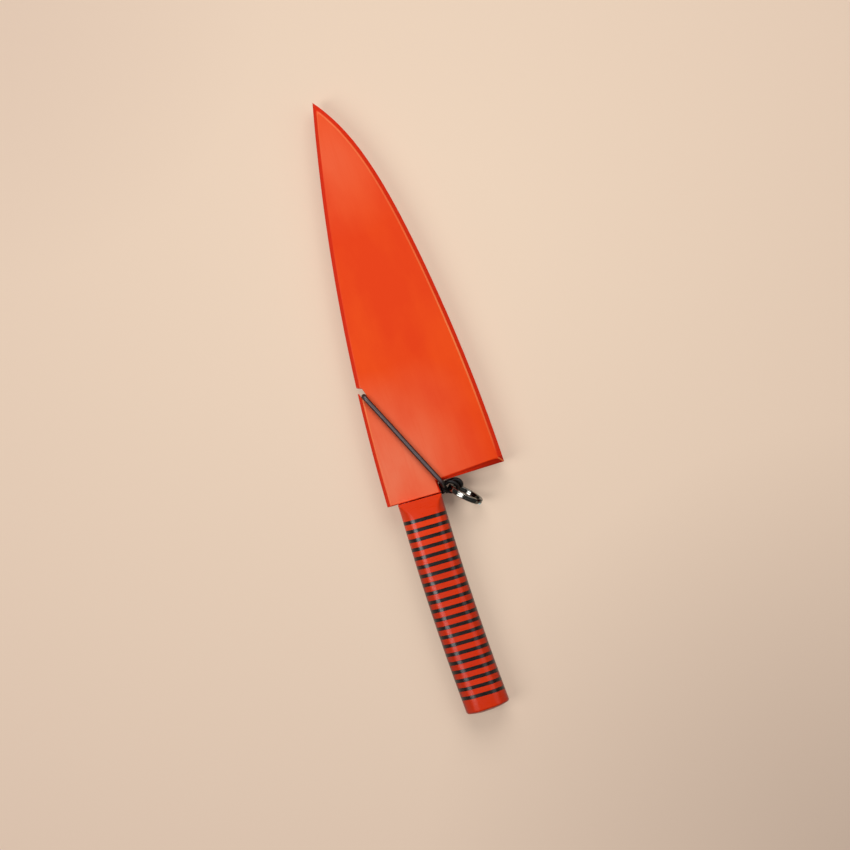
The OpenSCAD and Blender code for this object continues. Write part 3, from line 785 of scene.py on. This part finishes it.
def box_piece(name, low, high, material):
    """A plate between two corners with eased edges."""
    (x0, y0, z0), (x1, y1, z1) = low, high
    loops = [[place(x0, y, z0), place(x1, y, z0), place(x1, y, z1), place(x0, y, z1)] for y in (y0, y1)]
    piece = loft(name, loops, material, 30)
    add_modifier(piece, "BEVEL", width=0.0003, segments=2, limit_method="ANGLE")
    return piece


# The elastic, its knot and eye, by the construction's own route points

CORD_D = 2.6
CORD_WAY = Vector((0.92, 0.39, 0))
EYE_D = 2.0
EYE_SWELL = 1.1
STRAND_Z = FRONT_Z - MID_Z + CORD_D / 2 + 0.3
HALF_LOOP = [
    (15.6, 3.4, 3.6), (15.6, 4.4, 5.8), (15.3, 6.1, 7.6), (14.4, 8.3, STRAND_Z), (11.6, 14.6, STRAND_Z),
    (8.0, 22.7, STRAND_Z), (3.3, 33.4, STRAND_Z), (-1.4, 44.2, STRAND_Z), (-5.2, 52.8, STRAND_Z),
    (-7.8, 58.7, STRAND_Z), (-9.0, 61.4, STRAND_Z - 0.1), (-9.5, 62.6, STRAND_Z - 0.6),
]
NOTCH = (-9.64, 63.1)
EYE = [
    (15.8, 3.2, 10.4), (17.8, 4.6, 10.6), (20.2, 4.8, 10.8), (22.4, 4.75, 11.0), (24.2, 3.9, 11.0),
    (25.3, 2.3, 10.8), (25.3, 0.7, 10.2), (24.0, -0.3, 8.6), (22.3, -0.9, 7.4), (20.4, -0.9, 7.0),
    (18.2, -0.4, 7.6), (16.2, -0.2, 8.4),
]


RING_D = 20.4
RING_WIRE = 2.2
RING_TURN = 1.5
RING_TILT = math.radians(81)
RING_ANGLE = math.radians(-45)
RING_HOLD = (19.2, 1.8)
RING_LIFT = 0.1
STEP_ANGLE, END_GAP, STEP_AT = 26.0, 3.0, 30.0

# The eye's turns beside the ring, as places along the ring, square to its plane and up
INNER_EYE_D = 2.2
INNER_EYE = [
    (-2.9, 0.2, 11.6), (-2.1, 1.9, 12.0), (-0.4, 2.7, 12.3), (1.2, 2.75, 12.3), (2.9, 2.3, 12.0),
    (3.8, 1.0, 11.2), (3.8, -0.6, 9.8), (2.6, -1.9, 8.6), (1.0, -2.6, 8.2), (-0.9, -2.7, 9.2),
    (-2.5, -1.5, 9.8),
]
LOWER_EYE = [
    (-0.5, 3.9, 9.0), (1.5, 4.0, 9.2), (3.6, 3.6, 9.2), (4.6, 2.2, 9.0), (4.7, 0.6, 8.8), (4.5, -1.0, 8.6),
]


def make_elastic():
    """The strand over the front, round the notch and back on the other side."""
    turn = [(*NOTCH, z) for z in (6, 3, 0, -3, -6)]
    below = [(x, y, -z) for x, y, z in reversed(HALF_LOOP)]
    route = [place(x, y, MID_Z + z) for x, y, z in HALF_LOOP + turn + below]
    path = spline(route, 0.0008)
    piece = sweep("elastic_loop", path, round_section(CORD_D / 2 * MM), CORD_WAY, STRAND)
    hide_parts("elastic_cord")
    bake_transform(piece)


def make_eye():
    """An outer turn of cord, a tighter one next to the wire, and a lower one between the two."""
    half = math.sqrt(0.5)

    def beside_ring(route):
        return [place(RING_HOLD[0] + (s + o) * half, RING_HOLD[1] + (o - s) * half, z)
                for s, o, z in route]

    for name, route, size in (("eye_loop", [place(*p) for p in EYE], EYE_D * EYE_SWELL),
                              ("inner_eye_loop", beside_ring(INNER_EYE), INNER_EYE_D),
                              ("lower_eye_loop", beside_ring(LOWER_EYE), EYE_D)):
        piece = sweep(name, spline(route, 0.0005), round_section(size / 2 * MM), Vector((0, 0, 1)),
                      KNOTTED)
        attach(piece, "pull_tab")
        if name == "eye_loop":
            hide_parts("cord_eye")


KNOT_X = 15.2
WRAP_TURNS = 3.6
WRAP_HALF_W, WRAP_HALF_H = 1.0, 2.4
WRAP_THICK = 0.8
WRAP_TOP, WRAP_LENGTH = 5.3, 5.6
KNOT_CORE = [(15.6, 3.4, 3.6), (15.5, 2.4, 1.0), (15.5, 2.4, -1.0), (15.6, 3.4, -3.6)]
FILLING_HALF_W, FILLING_HALF_H = 1.72, 2.9
FILLING_TOP, FILLING_LENGTH = 5.7, 6.4


def make_knot():
    """Turns of cord wound tightly round the strands, over a filled core."""
    steps = 90
    path = []
    for i in range(steps + 1):
        share = i / steps
        angle = 2 * math.pi * WRAP_TURNS * share
        swell = 0.75 + 0.25 * math.sin(math.pi * share)
        path.append(place(KNOT_X + WRAP_HALF_W * math.cos(angle), WRAP_TOP - WRAP_LENGTH * share,
                          MID_Z + WRAP_HALF_H * swell * math.sin(angle)))
    middle = place(KNOT_X, 0, MID_Z)

    def outward(i):
        return Vector((path[i].x - middle.x, 0, path[i].z - middle.z)).normalized()

    wraps = sweep("knot_wraps", path, round_section(WRAP_THICK * MM, 14), outward, KNOTTED)
    core_route = [place(x, y, MID_Z + z) for x, y, z in KNOT_CORE]
    core = sweep("knot_core", spline(core_route, 0.0005), round_section(CORD_D / 2 * MM * 0.95),
                 CORD_WAY, KNOTTED)
    loops = []
    steps = 12
    for i in range(steps + 1):
        share = i / steps
        swell = math.sqrt(max(0.03, 1 - (2 * share - 1) ** 4))
        loops.append([place(KNOT_X + x * FILLING_HALF_W * swell, FILLING_TOP - FILLING_LENGTH * share,
                            MID_Z + z * FILLING_HALF_H * swell)
                      for x, z in round_section(1.0, 24)])
    filling = loft("knot_filling", loops, KNOTTED, 60)
    for piece in (wraps, core, filling):
        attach(piece, "pull_tab")
    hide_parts("cord_knot")


# The split ring: flat wire wound twice, with its two ends and the step between the turns


def make_ring():
    """The wire, which steps from one turn to the next and ends next to the step on both sides."""
    radius = (RING_D - RING_WIRE) / 2
    centre_z = RING_D / 2 * math.sin(RING_TILT) + RING_TURN * math.cos(RING_TILT) + RING_LIFT
    centre = place(RING_HOLD[0] + radius * math.cos(RING_ANGLE),
                   RING_HOLD[1] + radius * math.sin(RING_ANGLE), centre_z)
    stand = (Matrix.Translation(centre) @ Matrix.Rotation(RING_ANGLE, 4, "Z")
             @ Matrix.Rotation(math.pi - RING_TILT, 4, "X"))
    start, end = STEP_ANGLE / 2 + END_GAP, 720 - STEP_ANGLE / 2 - END_GAP
    count = 220
    loops = []
    w, t = RING_WIRE / 2, RING_TURN / 2 - 0.02

    def wire(share):
        """Half of a rounded band: the wire's edge is round outside and sharp where the turns meet."""
        low, high = 0.5 - 0.44 * share, 0.06 + 0.44 * share
        turns = [math.radians(a) for a in (0, 22.5, 45, 67.5, 90)]
        quarter = [(1 - math.cos(a), 1 - math.sin(a)) for a in turns]
        right_low = [(w - low * k, -t + low * m) for m, k in quarter]
        right_high = [(w - high * k, t - high * m) for m, k in reversed(quarter)]
        left_high = [(-w + high * k, t - high * m) for m, k in quarter]
        left_low = [(-w + low * k, -t + low * m) for m, k in reversed(quarter)]
        return right_low + right_high + left_high + left_low

    for i in range(count + 1):
        phi = start + (end - start) * i / count
        share = min(1, max(0, (phi - 360 + STEP_ANGLE / 2) / STEP_ANGLE))
        level = RING_TURN * (share * share * (3 - 2 * share) - 0.5)
        a = math.radians(phi + STEP_AT)
        loops.append([stand @ (Vector(((radius + u) * math.cos(a), (radius + u) * math.sin(a), level + v))
                               * MM) for u, v in wire(share)])
    piece = loft("split_ring", loops, CHROME, 40)
    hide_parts("pull_ring")
    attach(piece, "ring")


# The stage: paper, three soft boxes and the camera straight above

PAPER_HALF = 9.0
PAPER_Z = -0.0001


def make_stage():
    mesh = bpy.data.meshes.new("paper_sheet")
    corners = ((-1, -1), (1, -1), (1, 1), (-1, 1))
    mesh.from_pydata([(x * PAPER_HALF, y * PAPER_HALF, PAPER_Z) for x, y in corners], [], [(0, 1, 2, 3)])
    floor = bpy.data.objects.new("paper_sheet", mesh)
    mesh.materials.append(PAPER)
    bpy.context.scene.collection.objects.link(floor)


def soft_box(name, at, size, power):
    """A rectangular lamp aimed at the middle of the object."""
    lamp = bpy.data.lights.new(name, "AREA")
    lamp.shape = "RECTANGLE"
    lamp.size, lamp.size_y = size
    lamp.energy = power
    holder = bpy.data.objects.new(name, lamp)
    holder.location = at
    holder.rotation_euler = (-Vector(at)).to_track_quat("-Z", "Y").to_euler()
    bpy.context.scene.collection.objects.link(holder)


IMAGE_TURN = math.radians(-18.67)
PHOTO_MIDDLE = (16.86, 37.8)
FIELD_MM = 460.5
CAMERA_HEIGHT = 1.2
SENSOR = 36.0


def make_camera():
    """The photo's view: the field is as wide as the photo at the height of the guard's front face."""
    data = bpy.data.cameras.new("photo_camera")
    data.sensor_width = SENSOR
    face_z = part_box("front_cover")[1].z
    data.lens = SENSOR * (CAMERA_HEIGHT - face_z) / (FIELD_MM * MM)
    data.clip_end = 20.0
    camera = bpy.data.objects.new("photo_camera", data)
    camera.location = place(*PHOTO_MIDDLE, CAMERA_HEIGHT / MM)
    camera.rotation_euler = (0, 0, IMAGE_TURN)
    bpy.context.scene.collection.objects.link(camera)
    bpy.context.scene.camera = camera


def image_way(right, up):
    """A direction on the ground given by the photo's right and up."""
    return (math.cos(IMAGE_TURN) * right - math.sin(IMAGE_TURN) * up,
            math.sin(IMAGE_TURN) * right + math.cos(IMAGE_TURN) * up)


def lamp_place(right, up, tilt, distance):
    """A place for a lamp above the object, leaning by a tilt in degrees to one side of the photo."""
    x, y = image_way(right, up)
    size = math.hypot(x, y)
    lean = math.radians(tilt)
    return (x / size * math.sin(lean) * distance, y / size * math.sin(lean) * distance,
            math.cos(lean) * distance)


# Name, place by the photo's right and up, tilt and distance, size and power
SOFT_BOXES = (
    ("key_box", (-0.947, -0.32, 36, 1.9), (0.75, 1.2), 17),
    ("right_box", (0.9, 0.3, 40, 2.0), (1.4, 1.4), 6),
    ("top_box", (0.0, 1.0, 44, 2.0), (1.6, 1.3), 29),
)
ROOM_COLOR = (1.0, 0.98, 0.95, 1)
ROOM_LIGHT = 0.07


def make_light():
    for name, where, size, power in SOFT_BOXES:
        soft_box(name, lamp_place(*where), size, power)
    world = bpy.data.worlds.new("studio")
    world.use_nodes = True
    background = world.node_tree.nodes["Background"]
    background.inputs["Color"].default_value = ROOM_COLOR
    background.inputs["Strength"].default_value = ROOM_LIGHT
    bpy.context.scene.world = world
    bpy.context.scene.view_settings.view_transform = "Standard"


make_camera()
make_guard()
make_handle()
make_blade()
make_elastic()
make_eye()
make_knot()
make_ring()
make_stage()
make_light()
